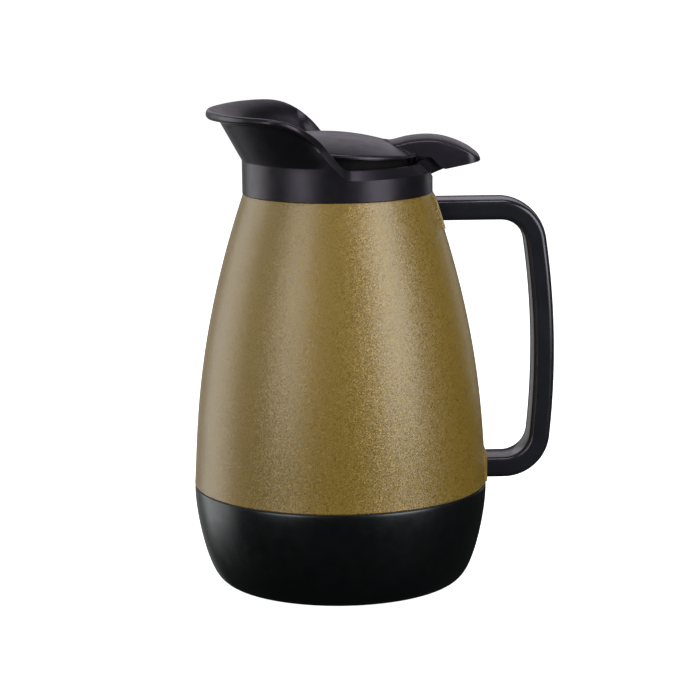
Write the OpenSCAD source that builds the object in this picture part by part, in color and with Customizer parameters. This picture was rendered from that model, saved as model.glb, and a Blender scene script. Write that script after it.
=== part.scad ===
// Insulated table carafe with a flip lid that a thumb lever opens.
// Z is up, the handle points along +X and the spout along -X.
// The origin is the centre of the foot ring, on the table.

/* [Shell] */
// Diameter of the shell where it meets the base cup
body_d = 128; // [116:1:140]
// Height of the seam between base cup and shell
seam_z = 43.4; // [38:0.2:50]
// Height of the seam between shell and collar
neck_z = 171; // [160:1:184]
// Wall of the shell
shell_wall = 2.2; // [1.6:0.1:2.8]
// How far the low control point of the side curve lies inside the shell
waist_in = 1.7; // [0.5:0.1:4]
// How far the high control point of the side curve lies inside the shell
shoulder_in = 1.14; // [0:0.1:4]
// Lean of the shell at the collar, from the vertical
neck_lean = 19.17; // [15:0.5:23]

/* [Base] */
// Diameter of the flat that faces the table
foot_d = 98.6; // [90:1:102]
// Wall of the base cup
cup_wall = 2.4; // [1.8:0.1:3]
// Width of the rubber foot ring
ring_w = 5.4; // [3:0.2:7]
// How far the foot ring stands proud of the cup
foot_proud = 0.4; // [0.2:0.1:1]
// Height of the lip that centres the cup in the shell
lip_h = 5; // [3:0.5:7]
// Gap that the seam gasket fills
seam_gap = 0.5; // [0.3:0.1:0.8]
// Diameter of the hole that the foam is poured through
fill_d = 16; // [12:1:20]

/* [Liner and insulation] */
// Thickness of the insulation between shell and liner
foam_t = 6.5; // [5:0.5:8]
// Wall of the liner
liner_wall = 1.8; // [1:0.1:2.4]
// Height of the liner's bottom
liner_z = 15; // [12:0.5:18]
// Gap left between parts that nest
nest_gap = 0.25; // [0.15:0.05:0.35]

/* [Collar and spout] */
// Diameter of the collar
collar_d = 82.1; // [80:0.5:88]
// Wall of the collar between the throat and the outside
throat_wall = 4.45; // [4:0.05:5]
// Height of the straight part of the collar
collar_h = 14.4; // [12:0.2:17]
// Height of the rear rim above the shell
rear_h = 9.2; // [8:0.2:11]
// Size of the bevel along the rear rim
bevel = 4; // [2:0.2:4.2]
// Height of the deck's top above the shell
deck_h = 4; // [3:0.2:5]
// Thickness of the deck
deck_t = 2.2; // [1.6:0.1:3]
// How far the deck reaches in from the throat's wall, up to the pouring hole
deck_ledge = 6.8; // [6:0.1:8]
// Height of the spout's rim above the shell
spout_h = 36.4; // [32:0.4:42]
// Lean of the spout's front from the vertical
spout_lean = 28.9; // [20:0.5:34]
// Wall of the spout
spout_wall = 2.5; // [2:0.1:3.2]
// How far the rolled lip stands out at the front
lip_out = 4.5; // [2.5:0.5:6]
// Height of the rolled lip
lip_t = 5.65; // [4:0.05:7]
// Slope of the rim down to the hinge side, in height per length
rim_slope = 0.944; // [0.7:0.01:1.2]

/* [Lid] */
// Diameter of the lid's cover
lid_d = 70; // [66:0.5:71]
// Radius of the dome on top of the lid
dome_r = 100; // [90:1:120]
// Height of the dome's top above the shell
dome_h = 26; // [25:0.5:28]
// How far the dome's top lies in front of the axis
dome_x = 7; // [5:0.5:9]
// Wall of the cover
cover_t = 2; // [1.6:0.1:2.2]
// Height of the band around the cover's edge
band_h = 1.4; // [1:0.1:1.8]
// Clearance between the stopper's shoulder and the throat's wall
stopper_gap = 5.6; // [5:0.1:7]
// Depth of the stopper's plug below the deck's top
plug_depth = 4; // [3:0.2:5]

/* [Hinge] */
// How far the hinge pin lies behind the axis
hinge_x = 36.2; // [35.6:0.1:36.8]
// Height of the hinge pin above the shell
hinge_h = 11.6; // [11:0.2:12.4]
// Diameter of the hinge pin
pin_d = 2.5; // [2:0.1:3]
// Running clearance around the pin
pin_fit = 0.08; // [0.04:0.01:0.1]
// Radius of the knuckles and ears
knuckle_r = 3; // [2.6:0.1:3.2]
// Gap between the two ears
ear_gap = 17; // [15:0.5:19]
// Thickness of each ear
ear_t = 4.5; // [3.5:0.1:5.5]
// Lid opening at which the stop tab lies on the collar
open_deg = 25; // [20:1:28]

/* [Thumb lever] */
// Width of the thumb lever
lever_w = 22; // [20:0.5:24]
// How far the lever's tip lies behind the hinge pin
lever_l = 25.1; // [22:0.5:28]
// Wall of the lever
lever_t = 2; // [1.6:0.1:2.4]

/* [Handle] */
// Width of the handle
handle_w = 20; // [18:0.5:22]
// Thickness of the handle at its edges
handle_t = 8.3; // [7:0.1:9]
// How much the handle's faces bulge
crown = 0.7; // [0.3:0.1:1]
// Rounding of the handle's edges
handle_edge = 2; // [1:0.1:2.6]
// Height of the upper arm's centreline below the collar seam
arm_drop = 7.7; // [7:0.1:9]
// Height of the lower arm's centreline above the base seam
arm_rise = 6.5; // [6:0.1:9]
// How far the grip's centreline lies from the axis
grip_x = 88.8; // [84:0.5:96]
// Radius of the grip's long curve
grip_r = 349; // [250:1:500]
// Radius of the handle's two bends, at the centreline
bend_r = 15.6; // [12:0.2:20]

/* [Handle fixings] */
// Diameter of the screws that hold the handle
screw_d = 3.8; // [3:0.1:4.2]
// Length of the screws that hold the handle
screw_l = 15; // [12:0.5:18]
// Diameter of the screws' heads
head_d = 7.2; // [6.4:0.1:7.4]
// Diameter of the washers
washer_d = 8.4; // [8:0.1:8.8]
// Thickness of the washers
washer_t = 0.8; // [0.5:0.1:1.2]

/* [Hidden] */
$fn = 96;
body_r = body_d / 2;
collar_r = collar_d / 2;
throat_r = collar_r - throat_wall;
eps = 0.01;

// A cubic curve, its direction, and the curve moved inward by d.
function cubic(c, t) = let (u = 1 - t)
    u * u * u * c[0] + 3 * u * u * t * c[1] + 3 * u * t * t * c[2] + t * t * t * c[3];
function cubic_dir(c, t) = let (u = 1 - t)
    3 * u * u * (c[1] - c[0]) + 6 * u * t * (c[2] - c[1]) + 3 * t * t * (c[3] - c[2]);
function inset(c, t, d) = let (g = cubic_dir(c, t), n = norm(g))
    cubic(c, t) + d * [-g[1], g[0]] / n;

// The shell's side curve, from the base seam up to the collar seam.
neck_r = collar_r - 0.35;
side_h = neck_z - seam_z;
shell_c = [
    [body_r, seam_z],
    [body_r - waist_in, seam_z + side_h * 0.179],
    [body_r - shoulder_in, neck_z - (body_r - shoulder_in - neck_r) / tan(neck_lean)],
    [neck_r, neck_z]
];
// The base cup's side curve, from its foot up to the base seam.
foot_r = foot_d / 2;
cup_c = [
    [foot_r + 5.2, 3.5],
    [foot_r + 10.8, 10.3],
    [body_r + 0.5, seam_z - 8.9],
    [body_r - 0.15, seam_z]
];

function inset_path(c, d, t0, t1, n) = [for (i = [0:n]) inset(c, t0 + (t1 - t0) * i / n, d)];

// Solid of revolution inside the shell's side curve moved in by d.
module shell_core(d, z0, z1, n = 40) {
    rotate_extrude() intersection() {
        polygon(concat([[0, seam_z - 30]], inset_path(shell_c, d, -0.06, 1.08, n), [[0, neck_z + 30]]));
        translate([0, z0]) square([body_r + 5, z1 - z0]);
    }
}

// The same for one pair of insets, as a ring-shaped wall.
module shell_wall_ring(d0, d1, z0, z1, n = 40) {
    rotate_extrude() intersection() {
        difference() {
            polygon(concat([[0, seam_z - 30]],
                inset_path(shell_c, d0, -0.06, 1.08, n), [[0, neck_z + 30]]));
            polygon(concat([[-1, seam_z - 31]],
                inset_path(shell_c, d1, -0.06, 1.08, n), [[-1, neck_z + 31]]));
        }
        translate([0, z0]) square([body_r + 5, z1 - z0]);
    }
}

// Handle geometry shared by the arms, the pads and the fixings.
arm_hi = neck_z - arm_drop;
arm_lo = seam_z + arm_rise;
grip_z = (arm_hi + arm_lo) / 2 - 6.5;
grip_cx = grip_x - grip_r;
bend_d = grip_r - bend_r;
hi_cz = arm_hi - bend_r;
lo_cz = arm_lo + bend_r;
hi_a = asin((hi_cz - grip_z) / bend_d);
lo_a = asin((lo_cz - grip_z) / bend_d);
hi_cx = grip_cx + bend_d * cos(hi_a);
lo_cx = grip_cx + bend_d * cos(lo_a);
// The upper pad leans as the shell does; the lower pad is upright.
pad_proud = 0.8;
pad_lean = neck_lean - 2.2;
pad_w = handle_w + 2.4;
pad_over = 3.6;
arm_fit = 0.1;
function shell_r(z) = lookup(z, [for (i = [-2:42]) let (p = cubic(shell_c, i / 40)) [p[1], p[0]]]);
function core_r(z, d) = lookup(z, [for (i = [-2:44]) let (p = inset(shell_c, i / 40, d)) [p[1], p[0]]]);
hi_pad_x = shell_r(arm_hi) + pad_proud;
lo_pad_x = shell_r(arm_lo) + pad_proud;
hi_seat_x = core_r(arm_hi + washer_d / 2 + 0.6, shell_wall) - 0.3;
lo_seat_x = sqrt(pow(core_r(arm_lo, shell_wall), 2) - pow(washer_d / 2 + 0.5, 2)) - 0.2;
boss_r = washer_d / 2 + 0.4;
pocket_r = boss_r + 0.6;
head_t = 2.2;

// Fixing positions: height, seat.
fix = [[arm_hi, hi_seat_x], [arm_lo, lo_seat_x]];

module along_x(x, z) {
    translate([x, 0, z]) rotate([0, 90, 0]) children();
}

// Everything outside the pad's face, as a leaning half space.
module outside_hi_pad(gap) {
    translate([hi_pad_x + gap, 0, arm_hi]) rotate([0, -pad_lean, 0])
        translate([0, -60, -120]) cube([200, 120, 240]);
}
module outside_lo_pad(gap) {
    translate([lo_pad_x + gap, -60, arm_lo - 120]) cube([200, 120, 240]);
}
module hi_pad_block() {
    difference() {
        translate([hi_pad_x - 25, -pad_w / 2, arm_hi - handle_t / 2 - pad_over])
            cube([40, pad_w, handle_t + pad_over * 2 - 1]);
        outside_hi_pad(0);
    }
}
module lo_pad_block() {
    difference() {
        translate([lo_pad_x - 25, -pad_w / 2, seam_z + 0.8])
            cube([40, pad_w, arm_rise + handle_t / 2 + pad_over - 0.8]);
        outside_lo_pad(0);
    }
}

// Main shell with its two handle pads and the bosses behind them.
module outer_shell() {
    color([0.52, 0.44, 0.24])
    difference() {
        union() {
            shell_wall_ring(0, shell_wall, seam_z + seam_gap / 2, neck_z);
            difference() {
                union() {
                    hi_pad_block();
                    lo_pad_block();
                }
                shell_core(shell_wall / 2, seam_z - 10, neck_z + 10);
                translate([0, 0, neck_z]) cylinder(r = body_r, h = 20);
            }
            for (f = fix) {
                intersection() {
                    along_x(f[1], f[0]) cylinder(r = boss_r, h = 12);
                    shell_core(shell_wall / 2, seam_z + seam_gap / 2, neck_z);
                }
            }
        }
        for (f = fix) {
            along_x(f[1] - 5, f[0]) cylinder(d = screw_d + 0.4, h = 40);
        }
    }
}

// Base cup: a deep cup with a lip that centres it in the shell.
ring_out = foot_r - 1.3;
ring_in = ring_out - ring_w;
ring_h = 2.6;
cup_floor = foot_proud + ring_h;
cup_top = cup_floor + cup_wall;
module base_cup() {
    color([0.02, 0.02, 0.022])
    difference() {
        rotate_extrude() difference() {
            union() {
                polygon(concat(
                    [[0, foot_proud], [foot_r, foot_proud]],
                    [for (i = [1:6]) let (t = i / 6)
                        (1 - t) * (1 - t) * [foot_r, foot_proud]
                        + 2 * t * (1 - t) * [foot_r + 2.7, foot_proud] + t * t * cup_c[0]],
                    inset_path(cup_c, 0, 0.04, 1, 24),
                    [[0, seam_z]]));
                intersection() {
                    polygon(concat([[0, seam_z - 30]],
                        inset_path(shell_c, shell_wall + nest_gap, -0.06, 0.3, 12), [[0, seam_z + 40]]));
                    square([body_r, seam_z + lip_h]);
                }
            }
            // Hollow of the cup, narrowed where the lip stands.
            difference() {
                polygon(concat(
                    [[-1, cup_top]],
                    [for (p = inset_path(cup_c, cup_wall, 0, 1, 24)) if (p[1] > cup_top) p],
                    [[body_r - cup_wall, seam_z + 20], [-1, seam_z + 20]]));
                polygon([
                    [body_r - shell_wall - nest_gap - 2.6, seam_z + lip_h + 1],
                    [body_r - shell_wall - nest_gap - 2.6, seam_z - 2],
                    [body_r - cup_wall + 0.4, seam_z - 6.5],
                    [body_r + 3, seam_z - 6.5],
                    [body_r + 3, seam_z + lip_h + 1]]);
            }
            // Shoulder that leaves the gasket its gap.
            difference() {
                translate([body_r - 10, seam_z - seam_gap / 2]) square([20, seam_gap]);
                polygon(concat([[0, seam_z - 30]],
                    inset_path(shell_c, shell_wall + nest_gap, -0.06, 0.3, 12), [[0, seam_z + 40]]));
            }
            // Recess under the cup and the groove for the foot ring.
            translate([-1, -1]) square([ring_in - 1.2 + 1, cup_floor + 1]);
            translate([ring_in - 0.1, -1]) square([ring_w + 0.2, cup_floor + 1.1]);
        }
        translate([0, 0, cup_floor - 1]) cylinder(d = fill_d, h = 20);
        // Room for the lower handle boss.
        translate([body_r - 12, -boss_r - 1, arm_lo - boss_r - 0.8]) cube([14, boss_r * 2 + 2, 30]);
    }
}

// Flat gasket in the seam between shell and base cup.
module base_seal_ring() {
    color([0.05, 0.05, 0.05])
    rotate_extrude()
        translate([body_r - shell_wall + 0.05, seam_z - seam_gap / 2 + 0.05])
            square([shell_wall - 0.55, seam_gap - 0.1]);
}

// Rubber ring that the carafe stands on.
module foot_ring() {
    color([0.04, 0.04, 0.04])
    rotate_extrude() difference() {
        translate([ring_in, 0]) square([ring_w, foot_proud + ring_h]);
        translate([ring_in, 0]) polygon([[-1, -1], [0.5, -1], [0, 0.5], [-1, 0.5]]);
        translate([ring_out, 0]) polygon([[1, -1], [-0.5, -1], [0, 0.5], [1, 0.5]]);
    }
}

// Plug that closes the foam's filling hole under the base.
module fill_plug() {
    color([0.03, 0.03, 0.03])
    difference() {
        union() {
            translate([0, 0, cup_floor - 1.3]) cylinder(d = fill_d + 6, h = 1.2);
            translate([0, 0, cup_floor - 0.5]) cylinder(d = fill_d - 0.3, h = cup_wall + 1.2);
            translate([0, 0, cup_top + 0.15]) cylinder(d = fill_d + 0.4, h = 0.9);
        }
        translate([0, 0, cup_floor + 1]) cylinder(d = fill_d - 4, h = 20);
    }
}

// Liner: follows the shell, with a rounded bottom and a flange at the neck.
liner_out_d = shell_wall + foam_t + 2 * nest_gap;
liner_in_d = liner_out_d + liner_wall;
deck_z = neck_z + deck_h;
pour_r = throat_r - deck_ledge;
deck_lo = deck_z - deck_t;
gasket_t = 1.3;
flange_t = 1.6;
flange_z = deck_lo - gasket_t - 0.1 - flange_t;
skirt_t = 2;
skirt_lo = neck_z - 3.4;
skirt_out = core_r(neck_z, shell_wall) - nest_gap;
skirt_in = skirt_out - skirt_t;
flange_r = skirt_in - 0.5;
low_r = core_r(seam_z + 4, liner_out_d);
corner_r = 12;
// Outer outline of the liner, moved in by w.
module liner_outline(w, top) {
    intersection() {
        union() {
            polygon(concat([[0, seam_z + 4]],
                inset_path(shell_c, liner_out_d + w, 0.03, 1.1, 40), [[0, neck_z + 40]]));
            translate([0, liner_z + w + corner_r])
                square([low_r - w, seam_z + 4.5 - liner_z - w - corner_r]);
            translate([0, liner_z + w]) square([low_r - w - corner_r, corner_r + 1]);
            translate([low_r - w - corner_r, liner_z + w + corner_r]) circle(r = corner_r);
        }
        square([body_r, top]);
    }
}
module inner_liner() {
    color([0.62, 0.62, 0.6])
    rotate_extrude() difference() {
        union() {
            liner_outline(0, flange_z + flange_t);
            translate([0, flange_z]) square([flange_r, flange_t]);
        }
        liner_outline(liner_wall, neck_z + 20);
        translate([-2, liner_z + liner_wall]) square([2, neck_z]);
    }
}

// Foam between shell and liner, with pockets for the handle fixings.
foam_split = seam_z + lip_h + 2.2;
module fix_pockets() {
    for (f = fix) {
        along_x(f[1] - washer_t - head_t - 0.8, f[0]) cylinder(r = pocket_r, h = 30);
    }
}
module insulation_jacket() {
    color([0.85, 0.8, 0.6])
    difference() {
        union() {
            shell_wall_ring(shell_wall + nest_gap, liner_out_d - nest_gap,
                foam_split + 0.3, skirt_lo - 0.3);
            rotate_extrude() intersection() {
                difference() {
                    translate([0, skirt_lo - 2]) square([skirt_in - nest_gap, flange_z - skirt_lo + 1.8]);
                    polygon(concat([[-1, seam_z]],
                        inset_path(shell_c, liner_out_d - nest_gap, 0.7, 1.1, 16), [[-1, neck_z + 40]]));
                }
            }
        }
        fix_pockets();
    }
}

// Foam block in the base cup, under and around the liner.
module base_insulation() {
    color([0.85, 0.8, 0.6])
    difference() {
        rotate_extrude() difference() {
            intersection() {
                union() {
                    polygon(concat(
                        [[0, cup_top + nest_gap]],
                        [for (p = inset_path(cup_c, cup_wall + nest_gap, 0, 1, 24))
                            if (p[1] > cup_top + nest_gap) p],
                        [[body_r - cup_wall - nest_gap, seam_z], [0, seam_z]]));
                    translate([0, seam_z - 12])
                        square([body_r - shell_wall - 2 * nest_gap - 2.7, lip_h + 14.2]);
                }
                square([body_r, foam_split]);
                // Clear of the thick rim that carries the cup's lip.
                polygon([[0, 0], [body_r, 0], [body_r, seam_z - 10],
                    [body_r - cup_wall + 0.1, seam_z - 6.9],
                    [body_r - shell_wall - 2 * nest_gap - 2.7, seam_z - 2.2],
                    [body_r - shell_wall - 2 * nest_gap - 2.7, neck_z], [0, neck_z]]);
                translate([0, cup_top + nest_gap]) square([body_r, neck_z]);
            }
            liner_outline(-nest_gap, neck_z);
            translate([-2, 0]) square([2, neck_z]);
        }
        translate([0, 0, cup_top - 1]) cylinder(d = fill_d + 1.6, h = 2.4);
        fix_pockets();
    }
}

// Spout. Height and reach of the rim as functions of the angle from the front.
crease_z = neck_z + collar_h;
rim_z = neck_z + spout_h;
flare = tan(spout_lean);
function smooth(a, b, x) = let (t = min(1, max(0, (x - a) / (b - a)))) t * t * (3 - 2 * t);
function rim_line(x) = crease_z - rim_slope * (x - 1.42);
function rim_top(x) = let (b = rim_line(x), k = 3)
    min(rim_z, b) - k * ln(1 + exp(-abs(b - rim_z) / k));
function fan(p) = 1 - smooth(69, 83, p);
function wall_at(p, z) = collar_r + flare * fan(p) * (z - crease_z);
function lip_fade(p) = 1 - smooth(60, 75, p);
function lip_v(p) = 1 - 0.26 * min(1, p / 45) - 0.4 * smooth(45, 70, p);
wall_r = spout_wall / cos(spout_lean);

// One upright section of the spout at angle p, as radius and height.
lip_pts = [[0, -1], [0.22, -0.905], [0.73, -0.805], [1.15, -0.69],
    [1.34, -0.46], [1.31, -0.195], [1.18, -0.035], [1, 0]];
back_pts = [[0.16, -0.08], [0.456, -0.336], [0.779, -0.726], [1, -1.133]];
function section(p) =
    let (x = -collar_r * cos(p),
        zt = rim_top(x * (1 + 0.36 * (1 - smooth(70, 92, p)))),
        v = lip_t * lip_v(p),
        m = lip_fade(p),
        k = min(1, (zt - crease_z) * 0.8 / (lip_t * lip_v(p))),
        rw = wall_at(p, zt - v * k),
        wl = wall_r * fan(p) + spout_wall * (1 - fan(p)),
        ri = wall_at(p, zt - 1.133 * v * k) - wl,
        rc = wall_at(0, rim_z - lip_t) + lip_out + 2.4 * smooth(20, 50, p) - (rim_z - zt) * flare,
        hs = rc - rw,
        rp = wall_at(p, zt) - wl / 2)
    concat(
        [[collar_r - 0.1, crease_z - 0.3],
         [wall_at(p, crease_z + (zt - v * k - crease_z) / 2), crease_z + (zt - v * k - crease_z) / 2]],
        [for (q = lip_pts)
            let (z = zt + q[1] * v * k, edge = max(0, 1 + q[1] / 0.25),
                plain = min(wall_at(p, z), rp + wl / 2 * sqrt(max(0, 1 - edge * edge))))
            [m * (rw + q[0] * hs) + (1 - m) * plain, z]],
        [for (q = back_pts)
            let (z = zt + q[1] * v * k, edge = max(0, 1 + q[1] / 0.25),
                plain = max(wall_at(p, z) - wl, rp - wl / 2 * sqrt(max(0, 1 - edge * edge))))
            [m * (rc + q[0] * (ri - rc)) + (1 - m) * plain, z]],
        [[wall_at(p, (zt - 1.133 * v * k + crease_z) / 2) - wl, (zt - 1.133 * v * k + crease_z) / 2],
         [collar_r - spout_wall + 0.2, crease_z - 0.3]]);

spout_n = 60;
spout_foot = 1;
spout_end = 90 + asin((1.42 - spout_foot / rim_slope) / collar_r);
module spout_skin() {
    secs = [for (j = [0:spout_n]) let (a = -spout_end + 2 * spout_end * j / spout_n, s = section(abs(a)))
        [for (q = s) [-q[0] * cos(a), -q[0] * sin(a), q[1]]]];
    m = len(secs[0]);
    pts = [for (s = secs) for (q = s) q];
    side = [for (j = [0:spout_n - 1]) for (i = [0:m - 1]) let (i2 = (i + 1) % m, a = j * m, b = (j + 1) * m)
        each [[a + i, a + i2, b + i2], [a + i, b + i2, b + i]]];
    cap0 = [[for (i = [m - 1:-1:0]) i]];
    cap1 = [[for (i = [0:m - 1]) spout_n * m + i]];
    polyhedron(points = pts, faces = concat(side, cap0, cap1), convexity = 8);
}

hinge_z = neck_z + hinge_h;
ear_in = ear_gap / 2;
ear_out = ear_in + ear_t;
stop_r = 4.81;
notch_z = hinge_z - stop_r - 0.35;
rear_z = neck_z + rear_h;
module ear(y0, y1) {
    translate([0, y1, 0]) rotate([90, 0, 0]) linear_extrude(y1 - y0) union() {
        translate([hinge_x, hinge_z]) circle(r = knuckle_r);
        translate([hinge_x - knuckle_r, deck_z - 1]) square([knuckle_r * 2, hinge_z - deck_z + 1]);
    }
}
// Collar with skirt, deck, rear rim, hinge ears and pouring spout.
module spout_collar() {
    color([0.035, 0.035, 0.04])
    difference() {
        union() {
            // Skirt, deck and wall; behind the spout the wall drops to a bevelled rim.
            difference() {
                rotate_extrude() polygon([
                    [skirt_in, skirt_lo],
                    [skirt_out, skirt_lo],
                    [skirt_out, neck_z + 0.15],
                    [collar_r, neck_z + 0.15],
                    [collar_r, crease_z],
                    [collar_r - spout_wall - 0.45, crease_z],
                    [throat_r, rear_z + bevel],
                    [throat_r, deck_z],
                    [pour_r, deck_z],
                    [pour_r, deck_lo],
                    [skirt_in, deck_lo]]);
                intersection() {
                    rotate_extrude() polygon([
                        [throat_r - 2, rear_z + bevel],
                        [collar_r - bevel, rear_z + bevel],
                        [collar_r + 2, rear_z - 2],
                        [collar_r + 2, crease_z + 2],
                        [throat_r - 2, crease_z + 2]]);
                    translate([0, collar_r + 3, 0]) rotate([90, 0, 0])
                        linear_extrude(collar_r * 2 + 6) polygon([
                        [1.42 - 2 / rim_slope, crease_z + 2],
                        [2.9, rear_z + bevel - 0.2],
                        [4.15, rear_z + 0.2],
                        [4.6, rear_z - 3],
                        [collar_r + 3, rear_z - 3],
                        [collar_r + 3, crease_z + 2]]);
                }
            }
            spout_skin();
            ear(-ear_out, -ear_in);
            ear(ear_in, ear_out);
        }
        // Notch between the ears.
        translate([collar_r - 12, -ear_in, notch_z]) cube([20, ear_gap, 20]);
        // Pin holes: open on one side, blind on the other.
        translate([hinge_x, ear_out + 1, hinge_z]) rotate([90, 0, 0])
            cylinder(d = pin_d + 0.06, h = ear_out + 1);
        translate([hinge_x, 0, hinge_z]) rotate([90, 0, 0])
            cylinder(d = pin_d + 0.06, h = ear_in + ear_t * 0.7);
        // Groove for the seal ring.
        rotate_extrude() translate([skirt_out - 1, seal_lo - 0.1]) square([3, seal_t + 0.2]);
    }
}

// Ring that seals the collar's skirt in the shell's neck.
seal_lo = skirt_lo + 0.7;
seal_t = 1.4;
module collar_seal_ring() {
    color([0.6, 0.6, 0.6])
    rotate_extrude() intersection() {
        translate([skirt_out - 0.9, seal_lo]) square([10, seal_t]);
        polygon(concat([[0, seam_z]],
            inset_path(shell_c, shell_wall + 0.1, 0.6, 1.08, 20), [[0, neck_z + 30]]));
    }
}

// Gasket between the deck and the liner's flange.
module neck_gasket() {
    color([0.6, 0.6, 0.6])
    translate([0, 0, flange_z + flange_t + 0.05]) difference() {
        cylinder(r = flange_r, h = gasket_t);
        translate([0, 0, -1]) cylinder(r = pour_r + 0.5, h = gasket_t + 2);
    }
}

// Cross-section of the handle: rounded corners and crowned faces.
crown_w = handle_w / 2 - handle_edge;
crown_r = (crown_w * crown_w + crown * crown) / (2 * crown);
// The bends are a hair slimmer, so that they end inside the straight runs.
blend = 0.03;
module grip_section(g = 0) {
    t2 = handle_t / 2 - g;
    w2 = crown_w - g;
    c2 = crown_r - g;
    union() {
        translate([-t2, -w2]) square([t2 * 2, w2 * 2]);
        translate([-t2 + handle_edge, -w2 - handle_edge])
            square([(t2 - handle_edge) * 2, (w2 + handle_edge) * 2]);
        for (sx = [-1, 1]) {
            for (sy = [-1, 1]) {
                translate([sx * (t2 - handle_edge), sy * w2]) circle(r = handle_edge, $fn = 48);
            }
        }
        intersection() {
            translate([-(crown_r - handle_t / 2 - crown), 0]) circle(r = c2, $fn = 180);
            translate([crown_r - handle_t / 2 - crown, 0]) circle(r = c2, $fn = 180);
            square([handle_t * 2, w2 * 2], center = true);
        }
    }
}
// A run about an axis along Y, from angle a0 to a1 above +X.
module bend(cx, cz, r, a0, a1, g = 0) {
    e = g > 0 ? 0.3 / r * 180 / PI : 0;
    translate([cx, 0, cz]) rotate([90, 0, 0]) rotate([0, 0, a0 - e])
        rotate_extrude(angle = a1 - a0 + 2 * e, $fn = 180) translate([r, 0]) grip_section(g);
}
module arm(x1, z) {
    translate([20, 0, z]) rotate([0, 90, 0]) linear_extrude(x1 - 20) grip_section();
}
module handle() {
    color([0.03, 0.03, 0.032])
    difference() {
        union() {
            difference() {
                arm(hi_cx, arm_hi);
                difference() {
                    translate([0, -30, arm_hi - 20]) cube([hi_cx - 4, 60, 40]);
                    outside_hi_pad(arm_fit);
                }
            }
            difference() {
                arm(lo_cx, arm_lo);
                difference() {
                    translate([0, -30, arm_lo - 20]) cube([lo_cx - 1, 60, 40]);
                    outside_lo_pad(arm_fit);
                }
            }
            bend(hi_cx, hi_cz, bend_r, hi_a, 90, blend);
            bend(grip_cx, grip_z, grip_r, lo_a, hi_a);
            bend(lo_cx, lo_cz, bend_r, -90, lo_a, blend);
        }
        for (f = fix) {
            along_x(f[1] - 5, f[0]) cylinder(d = screw_d + 0.1, h = screw_l - washer_t + 5.8);
        }
    }
}

// Pan-head screws that pull the handle onto its pads from inside.
module handle_screws() {
    color([0.7, 0.7, 0.7])
    for (f = fix) {
        along_x(f[1] - washer_t - 0.1, f[0]) difference() {
            union() {
                translate([0, 0, -head_t]) cylinder(d = head_d, h = head_t);
                translate([0, 0, -eps]) cylinder(d = screw_d, h = screw_l);
            }
            translate([-head_d / 4, -0.45, -head_t - 1]) cube([head_d / 2, 0.9, 2.1]);
            translate([-0.45, -head_d / 4, -head_t - 1]) cube([0.9, head_d / 2, 2.1]);
        }
    }
}

module handle_washers() {
    color([0.75, 0.75, 0.75])
    for (f = fix) {
        along_x(f[1] - washer_t - 0.05, f[0]) difference() {
            cylinder(d = washer_d, h = washer_t);
            translate([0, 0, -1]) cylinder(d = screw_d + 0.3, h = washer_t + 2);
        }
    }
}

// Pin that the lid turns on.
module hinge_pin() {
    color([0.75, 0.75, 0.75])
    translate([hinge_x, ear_out - 0.1, hinge_z]) rotate([90, 0, 0])
        cylinder(d = pin_d, h = ear_out - 0.1 + ear_in + ear_t * 0.7 - 0.2);
}

// Torsion spring wound round the pin, one leg down in the notch
// and one leg up under the lever.
wire_r = 0.3;
coil_r = pin_d / 2 + 0.85;
coil_n = 5;
coil_half = 2.2;
leg_up = 47;
module lid_spring() {
    color([0.8, 0.8, 0.8])
    translate([hinge_x, 0, hinge_z]) {
        steps = 20;
        total = coil_n * steps + 9;
        turn = [for (i = [0:total]) let (a = -90 - 360 * i / steps)
            [coil_r * cos(a), -coil_half + 2 * coil_half * i / total, coil_r * sin(a)]];
        d0 = [-1, 0, 0];
        d1 = turn[total] - turn[total - 1];
        path = concat([turn[0] - 3.4 * d0 * -1], turn, [turn[total] + 7.5 * d1 / norm(d1)]);
        n = len(path);
        m = 8;
        ring_pts = [for (i = [0:n - 1])
            let (g = path[min(n - 1, i + 1)] - path[max(0, i - 1)], t = g / norm(g),
                s = [0, 1, 0] - t * (t * [0, 1, 0]), u = s / norm(s), w = cross(t, u))
            for (k = [0:m - 1]) path[i] + wire_r * (cos(360 * k / m) * u + sin(360 * k / m) * w)];
        side = [for (i = [0:n - 2]) for (k = [0:m - 1]) let (k2 = (k + 1) % m, a = i * m, b = (i + 1) * m)
            each [[a + k, a + k2, b + k2], [a + k, b + k2, b + k]]];
        polyhedron(points = ring_pts, faces = concat(side,
            [[for (k = [m - 1:-1:0]) k]], [[for (k = [0:m - 1]) (n - 1) * m + k]]), convexity = 10);
    }
}

// Domed cover of the lid; its edge follows the dome, so it leans forward up.
dome_z = neck_z + dome_h;
lid_r = lid_d / 2;
dome_c = [-dome_x, 0, dome_z - dome_r];
edge_slope = dome_x / dome_r;
edge_z = dome_z - (lid_r * lid_r + dome_x * dome_x) / (2 * dome_r);
module under_edge(drop) {
    translate([0, 60, 0]) rotate([90, 0, 0]) linear_extrude(120) polygon([
        [-60, edge_z + 60 * edge_slope - drop],
        [60, edge_z - 60 * edge_slope - drop],
        [60, neck_z - 40],
        [-60, neck_z - 40]]);
}
module lid_cover() {
    color([0.035, 0.035, 0.04])
    difference() {
        intersection() {
            translate(dome_c) sphere(r = dome_r, $fn = 200);
            translate([0, 0, neck_z]) cylinder(r = lid_r, h = 40);
        }
        intersection() {
            translate(dome_c) sphere(r = dome_r - cover_t, $fn = 200);
            translate([0, 0, neck_z - 1]) cylinder(r = lid_r - 1.6, h = 40);
        }
        under_edge(band_h);
        for (s = [-1, 1]) {
            translate([lever_screw_x, s * lever_screw_y, neck_z]) cylinder(d = lever_screw_d + 0.3, h = 40);
        }
    }
}

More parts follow.
